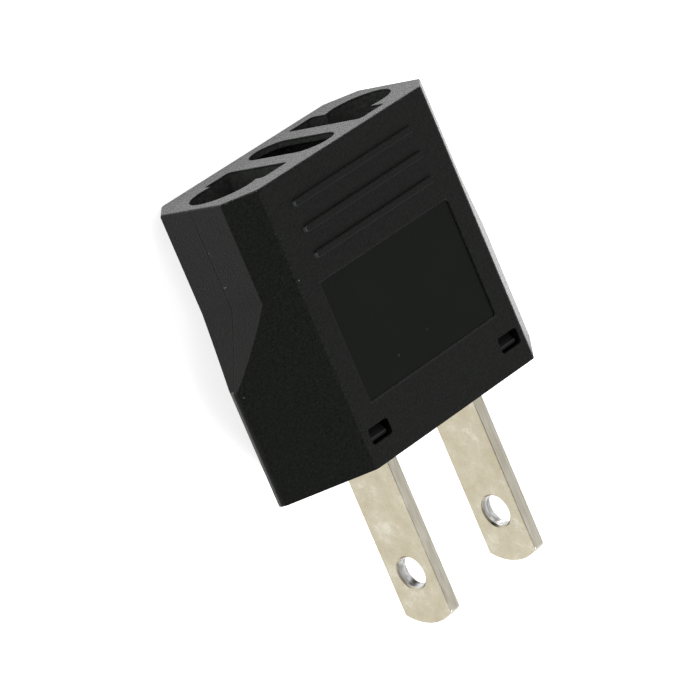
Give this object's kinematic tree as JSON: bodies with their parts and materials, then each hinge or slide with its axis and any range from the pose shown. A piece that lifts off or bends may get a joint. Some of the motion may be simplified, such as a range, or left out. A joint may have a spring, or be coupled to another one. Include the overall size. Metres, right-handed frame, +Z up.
{
  "type": "plug adapter",
  "caption": "Black moulded plug adapter with a universal socket face for round or flat pins at one end and flat parallel blades at the other.",
  "frame": {"origin": "centre of the footprint, on the surface that the adapter lies on with its wide back face down", "axes": "+Y along the adapter from the blade tips to the socket face, +Z up out of the ribbed front face, +X across the two blades"},
  "size_m": [0.0362, 0.0464, 0.0141],
  "materials": {
    "black_plastic": "fine spark-eroded texture",
    "base_plastic": "smooth moulded",
    "nickel_plate": "dull nickel plating over brass",
    "contact_bronze": "rolled spring strip",
    "rivet_brass": "bright turned brass"
  },
  "bodies": {
    "root": {"housing": "black_plastic", "base": "base_plastic", "blade_left": "nickel_plate", "blade_right": "nickel_plate", "inner_leaf_left": "contact_bronze", "inner_leaf_right": "contact_bronze", "pin_clip_left": "contact_bronze", "pin_clip_right": "contact_bronze", "rivet_left": "rivet_brass", "rivet_right": "rivet_brass"}
  },
  "joints": []
}
